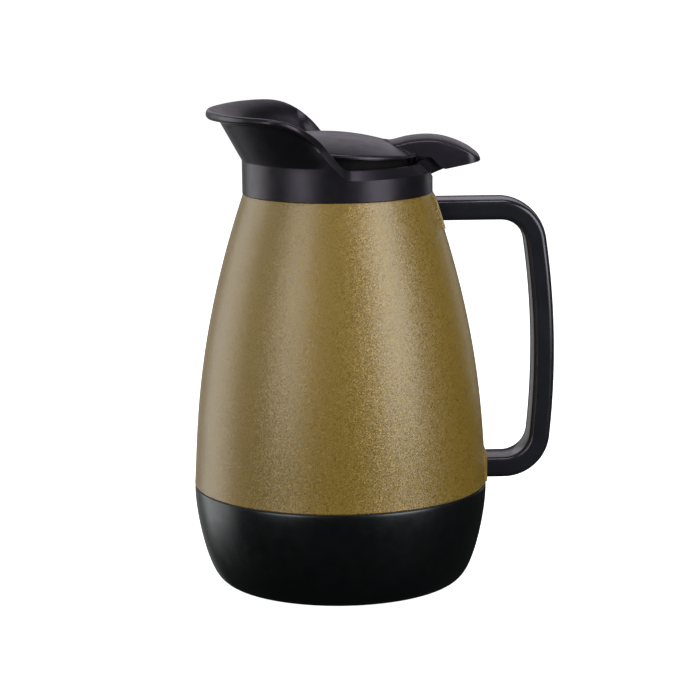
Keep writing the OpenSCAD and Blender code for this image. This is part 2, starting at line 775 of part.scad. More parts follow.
// Hollow plug under the cover, with a shoulder that carries the seal.
plug_lo = deck_z - plug_depth;
shoulder_z = deck_z + 3.4;
stopper_r = throat_r - stopper_gap;
plug_r = pour_r - 0.8;
stopper_wall = 2;
module stopper_top(gap, r) {
    intersection() {
        translate(dome_c) sphere(r = dome_r - cover_t - gap, $fn = 200);
        translate([0, 0, plug_lo]) cylinder(r = r, h = 60);
    }
}
module lid_stopper() {
    color([0.05, 0.05, 0.055])
    difference() {
        union() {
            intersection() {
                stopper_top(nest_gap, stopper_r);
                translate([0, 0, shoulder_z]) cylinder(r = stopper_r, h = 40);
            }
            rotate_extrude() polygon([[0, plug_lo], [plug_r - 2, plug_lo], [plug_r - 1, plug_lo + 1],
                [plug_r, deck_z], [plug_r, shoulder_z + 1], [0, shoulder_z + 1]]);
        }
        translate([0, 0, shoulder_z + stopper_wall]) cylinder(r = stopper_r - stopper_wall, h = 60);
        translate([0, 0, plug_lo + stopper_wall]) cylinder(r = plug_r - 1 - stopper_wall, h = 60);
        // Room for the heads of the lever's screws.
        for (s = [-1, 1]) {
            translate([lever_screw_x, s * lever_screw_y, shoulder_z + stopper_wall])
                cylinder(d = 5.6, h = 60);
        }
    }
}

// Seal that closes the pouring hole when the lid is down.
module stopper_seal() {
    color([0.7, 0.7, 0.68])
    rotate_extrude() polygon([
        [plug_r + 0.1, deck_z + 0.3],
        [plug_r + 2.9, deck_z + 0.3],
        [plug_r + 3.6, deck_z + 0.9],
        [plug_r + 2.6, shoulder_z - 0.8],
        [plug_r + 1.8, shoulder_z - 0.1],
        [plug_r + 0.1, shoulder_z - 0.1]]);
}

// Foam puck inside the hollow plug.
module lid_insulation() {
    color([0.85, 0.8, 0.6])
    translate([0, 0, plug_lo + stopper_wall + 0.3]) difference() {
        cylinder(r = plug_r - 1 - stopper_wall - 0.3, h = shoulder_z - plug_lo + 3);
    }
}

// Thumb lever: a crowned shell with a web, two knuckles and a stop tab.
lever_screw_x = stopper_r - 4.7;
lever_screw_y = 7.2;
lever_screw_d = 2.6;
// Seat of the screws' heads under the cover, and their length from there.
screw_seat = dome_z - dome_r - 0.1 + sqrt(pow(dome_r - cover_t, 2)
    - pow(lever_screw_x + dome_x + 2.4, 2) - pow(lever_screw_y + 2.4, 2));
lever_screw_l = cover_t + 1.9;
root_x = 19.3;
root_w = 36;
root_t = 0.8;
tip_x = hinge_x + lever_l;
// Top line of the lever, in heights above the collar seam.
lever_c = [
    [root_x, dome_z - 4.1],
    [hinge_x - 6, dome_z + 0.2],
    [hinge_x + 18, dome_z + 0.9],
    [tip_x, dome_z - 12.6]
];
lever_foot = edge_z - edge_slope * lid_r - band_h + 0.52;
lever_top = concat([for (i = [0:28]) cubic(lever_c, i / 28)]);
module lever_side(w, y = 0) {
    translate([0, y + w / 2, 0]) rotate([90, 0, 0]) linear_extrude(w) children();
}
module lever_outline() {
    polygon(concat(lever_top, [
        [tip_x - 5.3, dome_z - 13],
        [hinge_x + 9.4, dome_z - 15.7],
        [hinge_x + 7.6, dome_z - 14.8],
        [hinge_x + 3.7, dome_z - 10.5],
        [hinge_x - 6.4, lever_foot],
        [root_x, lever_foot]]));
}
module lever_hollow() {
    polygon(concat(
        [for (i = [6:26]) inset(lever_c, i / 28, -lever_t)],
        [[tip_x - lever_t, dome_z - 25], [hinge_x - 12, dome_z - 25]]));
}
module lid_space(gap) {
    intersection() {
        translate(dome_c) sphere(r = dome_r + gap, $fn = 200);
        translate([0, 0, edge_z - edge_slope * lid_r - band_h - gap]) cylinder(r = lid_r + gap, h = 40);
    }
}
module thumb_lever() {
    color([0.035, 0.035, 0.04])
    difference() {
        union() {
            difference() {
                union() {
                    lever_side(lever_w) lever_outline();
                    // Root plate that fans out over the back of the dome.
                    intersection() {
                        translate(dome_c) sphere(r = dome_r + 0.15 + root_t, $fn = 200);
                        translate([0, 0, neck_z]) cylinder(r = lid_r, h = 40);
                        translate([0, 0, edge_z - edge_slope * lid_r - 0.2]) linear_extrude(30) polygon([
                            [root_x, 0], [lid_r - 5, -root_w / 2], [lid_r + 5, -root_w / 2],
                            [lid_r + 5, root_w / 2], [lid_r - 5, root_w / 2]]);
                    }
                }
                lever_side(lever_w - 2 * lever_t) lever_hollow();
            }
            // Webs down to the knuckles, and the stop tab.
            lever_side(ear_gap - 1.2) intersection() {
                union() {
                    polygon([
                        [hinge_x - knuckle_r, hinge_z],
                        [hinge_x - knuckle_r, dome_z],
                        [hinge_x + 5.4, dome_z],
                        [hinge_x + 4, hinge_z + 3],
                        [hinge_x + 3, hinge_z]]);
                    translate([hinge_x, hinge_z]) circle(r = knuckle_r);
                    polygon([
                        [hinge_x, hinge_z],
                        [hinge_x + 1.6, hinge_z + 2.5],
                        [hinge_x + 4, hinge_z + 3.1],
                        [hinge_x + stop_r * sin(open_deg) + 6.1 * cos(open_deg),
                            hinge_z - stop_r * cos(open_deg) + 6.1 * sin(open_deg)],
                        [hinge_x + stop_r * sin(open_deg) + 2.4 * cos(open_deg),
                            hinge_z - stop_r * cos(open_deg) + 2.4 * sin(open_deg)],
                        [hinge_x + 0.5, hinge_z - knuckle_r + 0.1]]);
                }
                union() {
                    polygon(concat(lever_top, [[tip_x, deck_z], [root_x, deck_z]]));
                }
            }
        }
        lid_space(0.15);
        translate([hinge_x, 20, hinge_z]) rotate([90, 0, 0]) cylinder(d = pin_d + 2 * pin_fit, h = 40);
        // Slot for the spring between the knuckles.
        translate([hinge_x, 3.2, hinge_z]) rotate([90, 0, 0]) cylinder(r = knuckle_r + 1.2, h = 6.4);
        translate([hinge_x - 5, -3.2, hinge_z]) cube([17, 6.4, knuckle_r + 2.4]);
        for (s = [-1, 1]) {
            translate([lever_screw_x, s * lever_screw_y, neck_z])
                cylinder(d = lever_screw_d + 0.1, h = screw_seat + lever_screw_l + 0.4 - neck_z);
        }
    }
}

// Screws that hold the lever on the cover, from inside.
module lid_screws() {
    color([0.7, 0.7, 0.7])
    for (s = [-1, 1]) {
        translate([lever_screw_x, s * lever_screw_y, screw_seat]) {
            translate([0, 0, -1.6]) cylinder(d = 4.6, h = 1.6);
            translate([0, 0, -eps]) cylinder(d = lever_screw_d, h = lever_screw_l);
        }
    }
}

outer_shell();
base_cup();
base_seal_ring();
foot_ring();
fill_plug();
inner_liner();
insulation_jacket();
base_insulation();
spout_collar();
collar_seal_ring();
neck_gasket();
handle();
handle_screws();
handle_washers();
hinge_pin();
lid_spring();
lid_cover();
thumb_lever();
lid_stopper();
stopper_seal();
lid_screws();
lid_insulation();
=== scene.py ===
import bpy
import bmesh
from math import asin, atan2, cos, degrees, exp, log, pi, radians, sin, sqrt, tan
from mathutils import Matrix, Vector


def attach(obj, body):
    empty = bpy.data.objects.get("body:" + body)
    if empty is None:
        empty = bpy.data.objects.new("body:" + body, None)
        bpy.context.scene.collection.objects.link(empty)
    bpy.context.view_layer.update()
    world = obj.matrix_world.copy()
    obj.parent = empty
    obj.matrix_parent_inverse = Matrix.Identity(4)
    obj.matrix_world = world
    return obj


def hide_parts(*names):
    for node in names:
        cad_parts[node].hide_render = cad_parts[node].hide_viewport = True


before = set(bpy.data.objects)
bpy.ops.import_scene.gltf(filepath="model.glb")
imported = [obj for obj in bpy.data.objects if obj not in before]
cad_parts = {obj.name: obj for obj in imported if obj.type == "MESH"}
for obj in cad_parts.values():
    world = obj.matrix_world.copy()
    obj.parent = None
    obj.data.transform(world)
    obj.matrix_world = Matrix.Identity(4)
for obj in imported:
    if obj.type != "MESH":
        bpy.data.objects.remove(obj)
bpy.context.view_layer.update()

# Main shell: the tall tapered outer wall, moulded in olive-gold plastic with a fine
# metallic fleck. It drops over the base cup's lip, and two flat pads on its back take
# the handle's ends, which screws pull on from inside.
MM = 0.001


def curve_point(c, t):
    """Point of a cubic curve at t."""
    u = 1 - t
    share = (u**3, 3 * u * u * t, 3 * u * t * t, t**3)
    return [sum(s * p[i] for s, p in zip(share, c)) for i in (0, 1)]


def curve_inside(c, t, d):
    """Point of a cubic curve moved in by the wall thickness d."""
    u = 1 - t
    share = (3 * u * u, 6 * u * t, 3 * t * t)
    g = [sum(s * (b[i] - a[i]) for s, a, b in zip(share, c, c[1:])) for i in (0, 1)]
    p, n = curve_point(c, t), sqrt(g[0] ** 2 + g[1] ** 2)
    return [p[0] - g[1] / n * d, p[1] + g[0] / n * d]


def ring_of(bm, r, height, steps=256):
    """Adds a ring of points of radius r about the axis; height gives each point's z from its x and y."""
    if r == 0:
        return [bm.verts.new((0, 0, height(0, 0) * MM))] * steps
    ring = []
    for k in range(steps):
        x, y = r * cos(2 * pi * k / steps), r * sin(2 * pi * k / steps)
        ring.append(bm.verts.new((x * MM, y * MM, height(x, y) * MM)))
    return ring


def skin_rings(bm, rings, closed=False):
    """Joins rings of equally many points with faces; a ring that is one repeated point closes a pole."""
    pairs = list(zip(rings, rings[1:]))
    if closed:
        pairs.append((rings[-1], rings[0]))
    for a, b in pairs:
        for k in range(len(a)):
            j = (k + 1) % len(a)
            corners = []
            for v in (a[k], a[j], b[j], b[k]):
                if v not in corners:
                    corners.append(v)
            if len(corners) > 2:
                bm.faces.new(corners)


def turn_outline(bm, outline):
    """Adds the solid that a closed outline of (radius, height) makes when it is turned about the axis."""
    skin_rings(bm, [ring_of(bm, r, lambda x, y: z) for r, z in outline], closed=True)


def closed_mesh(name, bm):
    """A mesh of the closed form in bm, with its faces turned outward."""
    bmesh.ops.recalc_face_normals(bm, faces=bm.faces)
    mesh = bpy.data.meshes.new(name)
    bm.to_mesh(mesh)
    bm.free()
    return mesh


def assemble(name, bm, finish, body, nodes=(), crease=32):
    """Turns the mesh into a piece with its finish and puts it in the place of its CAD nodes."""
    bmesh.ops.remove_doubles(bm, verts=bm.verts, dist=1e-7)
    mesh = closed_mesh(name, bm)
    mesh.shade_smooth()
    mesh.set_sharp_from_angle(angle=radians(crease))
    mesh.materials.append(finish)
    piece = bpy.data.objects.new(name, mesh)
    bpy.context.scene.collection.objects.link(piece)
    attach(piece, body)
    if nodes:
        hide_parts(*nodes)
    return piece


def plain_finish(name, roughness, ior, metallic=0.0, level=0.5):
    """A new material: its node tree, its shader, and its object coordinates."""
    material = bpy.data.materials.new(name)
    material.use_nodes = True
    tree = material.node_tree
    shader = tree.nodes["Principled BSDF"]
    shader.inputs["Roughness"].default_value = roughness
    shader.inputs["IOR"].default_value = ior
    shader.inputs["Metallic"].default_value = metallic
    shader.inputs["Specular IOR Level"].default_value = level
    place = tree.nodes.new("ShaderNodeTexCoord")
    return material, tree, shader, place.outputs["Object"]


def noise_at(tree, place, size_mm, detail=2.0):
    """Noise whose lumps are about size_mm wide."""
    noise = tree.nodes.new("ShaderNodeTexNoise")
    noise.inputs["Scale"].default_value = 1000 / size_mm
    noise.inputs["Detail"].default_value = detail
    tree.links.new(place, noise.inputs["Vector"])
    return noise.outputs["Fac"]


def spread(tree, factor, low, high, from_low=0.3, from_high=0.7):
    """Maps a noise value onto the range from low to high."""
    node = tree.nodes.new("ShaderNodeMapRange")
    node.inputs["From Min"].default_value = from_low
    node.inputs["From Max"].default_value = from_high
    node.inputs["To Min"].default_value = low
    node.inputs["To Max"].default_value = high
    tree.links.new(factor, node.inputs["Value"])
    return node.outputs["Result"]


def two_tones(tree, factor, dark, light):
    """Colour between two tones by a factor."""
    node = tree.nodes.new("ShaderNodeMix")
    node.data_type = "RGBA"
    node.inputs["A"].default_value = (*dark, 1)
    node.inputs["B"].default_value = (*light, 1)
    tree.links.new(factor, node.inputs["Factor"])
    return node.outputs["Result"]


def relief(tree, shader, height, depth_mm, strength):
    """Bump of the given depth on a shader."""
    node = tree.nodes.new("ShaderNodeBump")
    node.inputs["Distance"].default_value = depth_mm * MM
    node.inputs["Strength"].default_value = strength
    tree.links.new(height, node.inputs["Height"])
    tree.links.new(node.outputs["Normal"], shader.inputs["Normal"])


def fleck_gold_finish():
    """Olive-gold plastic: fine metal flakes, each leaning its own way, under a smooth skin."""
    material, tree, shader, place = plain_finish("fleck_gold_plastic", 0.42, 1.6)
    flake_mm, flake_tilt = 0.34, 0.34
    flakes = tree.nodes.new("ShaderNodeTexVoronoi")
    flakes.inputs["Scale"].default_value = 1000 / flake_mm
    tree.links.new(place, flakes.inputs["Vector"])
    chance = tree.nodes.new("ShaderNodeSeparateColor")
    tree.links.new(flakes.outputs["Color"], chance.inputs["Color"])
    colour = two_tones(tree, chance.outputs["Red"], (0.172, 0.108, 0.0085), (0.232, 0.148, 0.018))
    tree.links.new(colour, shader.inputs["Base Color"])
    tree.links.new(spread(tree, chance.outputs["Green"], 0.0, 0.9, 0.72, 1.0), shader.inputs["Metallic"])
    away = tree.nodes.new("ShaderNodeVectorMath")
    away.operation = "SUBTRACT"
    away.inputs[1].default_value = (0.5, 0.5, 0.5)
    tree.links.new(flakes.outputs["Color"], away.inputs[0])
    tilt = tree.nodes.new("ShaderNodeVectorMath")
    tilt.operation = "MULTIPLY_ADD"
    tilt.inputs[1].default_value = (flake_tilt, flake_tilt, flake_tilt)
    tree.links.new(away.outputs["Vector"], tilt.inputs[0])
    true_face = tree.nodes.new("ShaderNodeNewGeometry")
    tree.links.new(true_face.outputs["Normal"], tilt.inputs[2])
    unit = tree.nodes.new("ShaderNodeVectorMath")
    unit.operation = "NORMALIZE"
    tree.links.new(tilt.outputs["Vector"], unit.inputs[0])
    tree.links.new(unit.outputs["Vector"], shader.inputs["Normal"])
    shader.inputs["Coat Weight"].default_value = 0.35
    shader.inputs["Coat Roughness"].default_value = 0.3
    return material


shell_curve = [(64.0, 43.4), (62.3, 66.24), (62.86, 107.2), (40.7, 171.0)]
shell_wall = 2.2


def shell_radius(z):
    """Outer radius of the shell at height z."""
    low, high = 0.0, 1.0
    for step in range(40):
        mid = (low + high) / 2
        if curve_point(shell_curve, mid)[1] < z:
            low = mid
        else:
            high = mid
    return curve_point(shell_curve, low)[0]


bm = bmesh.new()
# Up the outside from the softened lower edge, over the neck's edge, and down the inside.
outline = [(63.55, 43.65), (63.86, 43.78), (63.95, 44.1)]
outline += [tuple(curve_point(shell_curve, t / 110)) for t in range(1, 110)]
outline += [(40.92, 170.6), (40.72, 170.93), (40.45, 171.0), (38.9, 171.0), (38.6, 170.8)]
outline += [tuple(curve_inside(shell_curve, t / 60, shell_wall)) for t in range(59, 0, -1)]
outline += [(61.75, 43.65)]
turn_outline(bm, outline)
arm_high, arm_low, lean = 163.3, 49.9, radians(16.97)
pad_half, pad_depth, pad_edge = 11.2, 2.7, 0.55
pad_proud = {arm_high: 0.5, arm_low: 0.25}
sides = ((0, 1, 2, 3), (7, 6, 5, 4), (0, 4, 5, 1), (1, 5, 6, 2), (2, 6, 7, 3), (3, 7, 4, 0))
for centre_z, low_z, high_z, tilt in ((arm_high, 155.7, 170.05, lean), (arm_low, 44.1, 57.0, 0.0)):
    face_x = shell_radius(centre_z) + pad_proud[centre_z]
    corners = []
    for depth in (0, pad_depth):
        for y, z in ((-pad_half, low_z), (pad_half, low_z), (pad_half, high_z), (-pad_half, high_z)):
            x = face_x - tan(tilt) * (z - centre_z) - depth
            corners.append(bm.verts.new((x * MM, y * MM, z * MM)))
    faces = [bm.faces.new([corners[k] for k in side]) for side in sides]
    edges = list(faces[0].edges)
    bmesh.ops.bevel(bm, geom=edges, offset=pad_edge * MM, segments=3, profile=0.5, affect="EDGES")
gold = fleck_gold_finish()
assemble("main_shell", bm, gold, "vessel", ["outer_shell"], 30)

# Base cup: a deep cup of polished black plastic that carries everything. Its lip centres
# the shell, and the seam between the two has a flat rubber gasket.


def black_finish(name, tone, roughness, grain_mm, grain, ior=1.5, tint=(1.0, 1.0, 1.0)):
    """Black plastic or rubber: a slightly uneven tone and sheen, and a grain of the given size."""
    material, tree, shader, place = plain_finish(name, roughness, ior)
    shader.inputs["Specular Tint"].default_value = (*tint, 1)
    cloud = noise_at(tree, place, 14, 3.0)
    lighter = tuple(c * 1.35 for c in tone)
    tree.links.new(two_tones(tree, spread(tree, cloud, 0, 1), tone, lighter), shader.inputs["Base Color"])
    sheen = spread(tree, noise_at(tree, place, 5, 4.0), roughness * 0.9, roughness * 1.12)
    tree.links.new(sheen, shader.inputs["Roughness"])
    relief(tree, shader, noise_at(tree, place, grain_mm, 2.0), 0.02, grain)
    return material


polished_black = black_finish(
    "polished_black_plastic", (0.0016, 0.0022, 0.0023), 0.32, 9, 0.04, 1.5, (0.9, 0.98, 1.0))
cup_curve = [(54.5, 3.5), (60.1, 10.3), (64.5, 34.5), (63.85, 43.4)]
cup_wall, cup_floor, fill_r = 2.4, 5.4, 8
bm = bmesh.new()
# From the foam's filling hole out under the floor, past the foot ring's groove.
outline = [(fill_r, 3.0), (41.2, 3.0), (41.4, 2.8), (41.4, 0.6), (41.6, 0.4), (42.3, 0.4), (42.5, 0.6)]
outline += [(42.5, 3.1), (48.1, 3.1), (48.1, 0.6), (48.3, 0.4), (49.3, 0.4)]
foot_r, foot_bend_r, foot_z = 49.3, 52.0, 0.4
for k in range(1, 9):
    t = k / 9
    r = (1 - t) ** 2 * foot_r + 2 * t * (1 - t) * foot_bend_r + t * t * cup_curve[0][0]
    outline.append((r, (1 - t) ** 2 * foot_z + 2 * t * (1 - t) * foot_z + t * t * cup_curve[0][1]))
outline += [tuple(curve_point(cup_curve, t / 48)) for t in range(0, 47)]
# The seam's edge, and the lip that centres the shell.
outline += [(63.86, 42.85), (63.75, 43.08), (63.5, 43.15), (61.5, 43.15), (61.4, 48.2), (61.2, 48.4)]
outline += [(59.0, 48.4), (58.8, 48.2), (58.8, 41.4), (61.2, 36.9)]
outline += [tuple(curve_inside(cup_curve, t / 24, cup_wall)) for t in range(16, 1, -1)]
outline += [(51.5, cup_floor), (fill_r, cup_floor)]
turn_outline(bm, outline)
assemble("base_shell", bm, polished_black, "vessel", ["base_cup"], 30)


def refinish(node, finish):
    """Gives a CAD node its finish."""
    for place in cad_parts[node].material_slots:
        place.material = finish


black_rubber = black_finish("black_rubber", (0.012, 0.012, 0.012), 0.62, 1.2, 0.25)
refinish("base_seal_ring", black_rubber)

# Foot ring and filling plug: a flat ring of black rubber pressed into a groove keeps the
# carafe from sliding, and a snap-in plug closes the hole that the foam was poured through.
refinish("foot_ring", black_rubber)
plug_black = black_finish("plug_black_plastic", (0.012, 0.012, 0.013), 0.4, 1.5, 0.15)
refinish("fill_plug", plug_black)

# Liner and insulation: a smooth light grey food-grade liner hangs by its flange in the
# neck, and rigid poured foam fills the space between it and the shell.


def liner_finish():
    """Smooth light grey plastic."""
    material, tree, shader, place = plain_finish("liner_plastic", 0.24, 1.5)
    colour = two_tones(tree, noise_at(tree, place, 30, 2.0), (0.50, 0.50, 0.48), (0.58, 0.58, 0.555))
    tree.links.new(colour, shader.inputs["Base Color"])
    relief(tree, shader, noise_at(tree, place, 3, 2.0), 0.02, 0.06)
    return material


def foam_finish():
    """Dull yellowish foam with small closed cells."""
    material, tree, shader, place = plain_finish("rigid_foam", 0.9, 1.4)
    cells = tree.nodes.new("ShaderNodeTexVoronoi")
    cells.inputs["Scale"].default_value = 1000 / 0.9
    tree.links.new(place, cells.inputs["Vector"])
    colour = two_tones(tree, noise_at(tree, place, 4, 3.0), (0.62, 0.50, 0.26), (0.82, 0.72, 0.48))
    tree.links.new(colour, shader.inputs["Base Color"])
    relief(tree, shader, cells.outputs["Distance"], 0.25, 0.5)
    return material


refinish("inner_liner", liner_finish())
foam = foam_finish()
for node in ("insulation_jacket", "base_insulation", "lid_insulation"):
    refinish(node, foam)

# Seals: a ring of soft grey silicone in the collar's groove, a flat gasket under the
# deck, and a lip seal round the stopper. Each is moulded and pushed on by hand.


def silicone_finish():
    """Soft grey silicone that lets a little light in."""
    material, tree, shader, place = plain_finish("grey_silicone", 0.45, 1.42)
    shader.inputs["Subsurface Weight"].default_value = 0.15
    shader.inputs["Subsurface Scale"].default_value = 0.002
    colour = two_tones(tree, noise_at(tree, place, 6, 2.0), (0.30, 0.30, 0.29), (0.38, 0.38, 0.36))
    tree.links.new(colour, shader.inputs["Base Color"])
    relief(tree, shader, noise_at(tree, place, 1.0, 2.0), 0.02, 0.12)
    return material


silicone = silicone_finish()
for node in ("collar_seal_ring", "neck_gasket", "stopper_seal"):
    refinish(node, silicone)

# Collar and spout: one moulding of satin black plastic. A straight collar stands on the
# shell's neck, its rear rim is bevelled, two ears carry the hinge pin, and the front
# flares out into the pouring spout with a rolled lip that runs down into the bevel.
satin_black = black_finish(
    "satin_black_plastic", (0.0042, 0.0041, 0.0052), 0.36, 0.7, 0.08, 1.44, (0.92, 0.83, 1.0))
collar_r, crease_z, rim_z, rear_z = 41.05, 185.4, 207.4, 180.2
throat_r, pour_r, deck_top, deck_low = 36.6, 29.8, 175.0, 172.8
flare, rim_slope, rim_start = tan(radians(28.9)), 0.944, 1.42
lip_high, lip_reach = 5.65, 4.5


def ease(a, b, x):
    """A smooth step from 0 at a to 1 at b."""
    t = min(1.0, max(0.0, (x - a) / (b - a)))
    return t * t * (3 - 2 * t)


def soft_max(a, b, k):
    """The larger of a and b, with the change-over rounded over about k."""
    return max(a, b) + k * log(1 + exp(-abs(a - b) / k))


def rim_line(x):
    """Height of the spout's sloping rim where it is x behind the axis."""
    line = crease_z - rim_slope * (x - rim_start)
    return min(rim_z, line) - 3 * log(1 + exp(-abs(line - rim_z) / 3))


def fan(p):
    """How much of the flare the wall has at p degrees from the front."""
    return 1 - ease(69, 83, p)


def wall_at(p, z):
    """Outer radius of the wall at p degrees from the front and height z."""
    return collar_r + flare * fan(p) * max(0.0, z - crease_z)


def spline_through(points, steps):
    """Points of a smooth line through the given points."""
    ends = [points[0]] + list(points) + [points[-1]]
    out = []
    for i in range(1, len(ends) - 2):
        for j in range(steps):
            t = j / steps
            point = []
            for a, b, c, d in zip(*ends[i - 1:i + 3]):
                square, cube = 2 * a - 5 * b + 4 * c - d, 3 * b - a - 3 * c + d
                point.append(0.5 * (2 * b + (c - a) * t + square * t * t + cube * t**3))
            out.append(tuple(point))
    out.append(tuple(points[-1]))
    return out


lip_front = [(0, -1), (0.22, -0.905), (0.73, -0.805), (1.15, -0.69), (1.34, -0.46), (1.31, -0.195)]
lip_front = spline_through(lip_front + [(1.18, -0.035), (1, 0)], 4)
lip_back = spline_through([(0, 0), (0.16, -0.08), (0.456, -0.336), (0.779, -0.726), (1, -1.133)], 4)[1:]


def rim_section(p):
    """Outer wall, lip and inner wall of the collar at p degrees from the front, as (radius, height)."""
    # The pairs of angles say where, in degrees from the front, one form gives way to the next.
    x = -collar_r * cos(radians(p))
    line = rim_line(x * (1 + 0.36 * (1 - ease(70, 92, p))))
    tall = lip_high * (1 - 0.26 * min(1, p / 45) - 0.032 * ease(45, 70, p))
    top = soft_max(line, rear_z + 4.0, 0.8)
    low = soft_max(line - tall, rear_z, 1.0)
    m = 1 - ease(58, 80, p)
    thick = 2.856 + 0.6 * ease(69, 90, p) + 0.994 * ease(90, 98, p)
    bevel = 1.0 + 2.0 * ease(62, 88, p) + 1.0 * ease(90, 98, p)
    edge_drop = 0.32
    rise = top - low
    crest_r = wall_at(0, rim_z - lip_high) + lip_reach + 2.4 * ease(20, 50, p) - (rim_z - top) * flare
    root = wall_at(p, low)
    inner_low = wall_at(p, top - 1.133 * rise) - thick
    plain_crest = wall_at(p, top) - bevel
    rows = []
    crease = min(crease_z, low - 0.7)
    for k in range(6):
        rows.append((collar_r, 171.3 + (crease - 0.25 - 171.3) * k / 5))
    rows.append((collar_r + 0.02 * fan(p), crease))
    start = crease + 0.25
    for k in range(9):
        z = start + (low - start) * k / 9
        rows.append((wall_at(p, z), z))
    for q0, q1 in lip_front:
        z = top + q1 * rise
        t = 1 + q1
        plain = root + (plain_crest - root) * t - edge_drop * max(0.0, (t - 0.88) / 0.12) ** 2
        rows.append((m * (root + q0 * (crest_r - root)) + (1 - m) * plain, z))
    for q0, q1 in lip_back:
        z = top + q1 * rise
        base = wall_at(p, z) - thick
        u = min(1.0, -q1 / 1.133 / 0.14)
        plain = base + (plain_crest - edge_drop - base) * (1 - sqrt(max(0.0, 1 - (1 - u) ** 2)))
        rows.append((m * (crest_r + q0 * (inner_low - crest_r)) + (1 - m) * plain, z))
    z_end = rows[-1][1]
    floor_z = min(z_end - 0.4, crease_z)
    for k in range(1, 8):
        z = z_end + (floor_z - z_end) * k / 7
        rows.append((wall_at(p, z) - thick, z))
    ledge = min(floor_z - 0.3, rear_z + 4.0)
    rows += [(throat_r + 0.8 - 0.4 * ease(80, 95, p), ledge + 0.15), (throat_r + 0.15, ledge - 0.3)]
    rows += [(throat_r, ledge - 0.9), (throat_r, 178.0), (throat_r, 175.5)]
    return rows


# The skirt in the shell's neck with the seal's groove, and the deck with the pouring hole.
skirt = [(36.1, 167.6), (37.9, 167.6), (38.1, 168.2), (37.1, 168.2), (37.1, 169.8), (38.1, 169.8)]
skirt += [(38.1, 171.15), (40.8, 171.15), (40.98, 171.2)]
deck = [(36.45, deck_top + 0.15), (36.1, deck_top), (pour_r + 0.5, deck_top)]
deck += [(pour_r + 0.15, deck_top - 0.15), (pour_r, deck_top - 0.5), (pour_r, deck_low + 0.5)]
deck += [(pour_r + 0.15, deck_low + 0.15), (pour_r + 0.5, deck_low), (36.1, deck_low)]
bm = bmesh.new()
loops = []
sections = 480
for k in range(sections):
    angle = 2 * pi * k / sections
    p = abs(degrees(atan2(sin(angle), cos(angle))))
    outline = skirt + rim_section(p) + deck
    loops.append([bm.verts.new((-r * cos(angle) * MM, -r * sin(angle) * MM, z * MM)) for r, z in outline])
skin_rings(bm, loops, closed=True)
collar_mesh = closed_mesh("collar_blank", bm)
hinge_x, hinge_z, knuckle_r = 36.2, 182.6, 3


def block(name, low, high):
    """A plain cutting block between two corners, in millimetres."""
    mesh = bpy.data.meshes.new(name)
    cut = bmesh.new()
    bmesh.ops.create_cube(cut, size=1)
    for v in cut.verts:
        v.co = Vector([(low[i] + (v.co[i] + 0.5) * (high[i] - low[i])) * MM for i in range(3)])
    cut.to_mesh(mesh)
    cut.free()
    return bpy.data.objects.new(name, mesh)


def carve(mesh, tools):
    """The mesh with the tools cut away."""
    work = bpy.data.objects.new("work", mesh)
    bpy.context.scene.collection.objects.link(work)
    for tool in tools:
        bpy.context.scene.collection.objects.link(tool)
        cut = work.modifiers.new("cut", "BOOLEAN")
        cut.operation = "DIFFERENCE"
        cut.solver = "EXACT"
        cut.object = tool
    graph = bpy.context.evaluated_depsgraph_get()
    done = bpy.data.meshes.new_from_object(work.evaluated_get(graph))
    for thing in [work] + tools:
        bpy.data.objects.remove(thing)
    return done


notch = block("notch", (29.05, -8.5, 177.44), (49, 8.5, 200))
carved = carve(collar_mesh, [notch])
bm = bmesh.new()
bm.from_mesh(carved)


def pin_drill(name, radius, y0, y1):
    """A round cutting bar along the hinge axis, in millimetres."""
    drill = bmesh.new()
    turns = [2 * pi * k / 48 for k in range(48)]
    circle = [(hinge_x + radius * cos(a), hinge_z + radius * sin(a)) for a in turns]
    rows = [[drill.verts.new((x * MM, y * MM, z * MM)) for x, z in circle] for y in (y0, y1)]
    skin_rings(drill, rows)
    drill.faces.new(rows[0])
    drill.faces.new(rows[1])
    return bpy.data.objects.new(name, closed_mesh(name, drill))


def add_plate(bm, points, y0, y1, round_mm):
    """Adds a plate with the given outline in X and Z, from y0 to y1, with softened edges."""
    near = [bm.verts.new((x * MM, y0 * MM, z * MM)) for x, z in points]
    far = [bm.verts.new((x * MM, y1 * MM, z * MM)) for x, z in points]
    n = len(points)
    caps = [bm.faces.new(near), bm.faces.new(far[::-1])]
    for i in range(n):
        bm.faces.new((near[(i + 1) % n], near[i], far[i], far[(i + 1) % n]))
    edges = list(caps[0].edges) + list(caps[1].edges)
    bmesh.ops.bevel(bm, geom=edges, offset=round_mm * MM, segments=3, profile=0.5, affect="EDGES")


def add_drilled_plate(bm, name, points, y0, y1, round_mm, drill):
    """Adds a plate with the pin's hole in it; drill is the hole's radius and its two ends in Y."""
    plate = bmesh.new()
    add_plate(plate, points, y0, y1, round_mm)
    blank = closed_mesh(name + "_blank", plate)
    bm.from_mesh(carve(blank, [pin_drill(name + "_drill", *drill)]))


ear = [(hinge_x - knuckle_r, 174.0), (hinge_x + knuckle_r, 174.0)]
for turn in range(0, 181, 6):
    ear.append((hinge_x + knuckle_r * cos(radians(turn)), hinge_z + knuckle_r * sin(radians(turn))))
for y0, y1 in ((-13.0, -8.5), (8.5, 13.0)):
    add_drilled_plate(bm, "ear", ear, y0, y1, 0.8, (1.28, -11.6, 14.0))
assemble("collar_with_spout", bm, satin_black, "vessel", ["spout_collar"], 30)

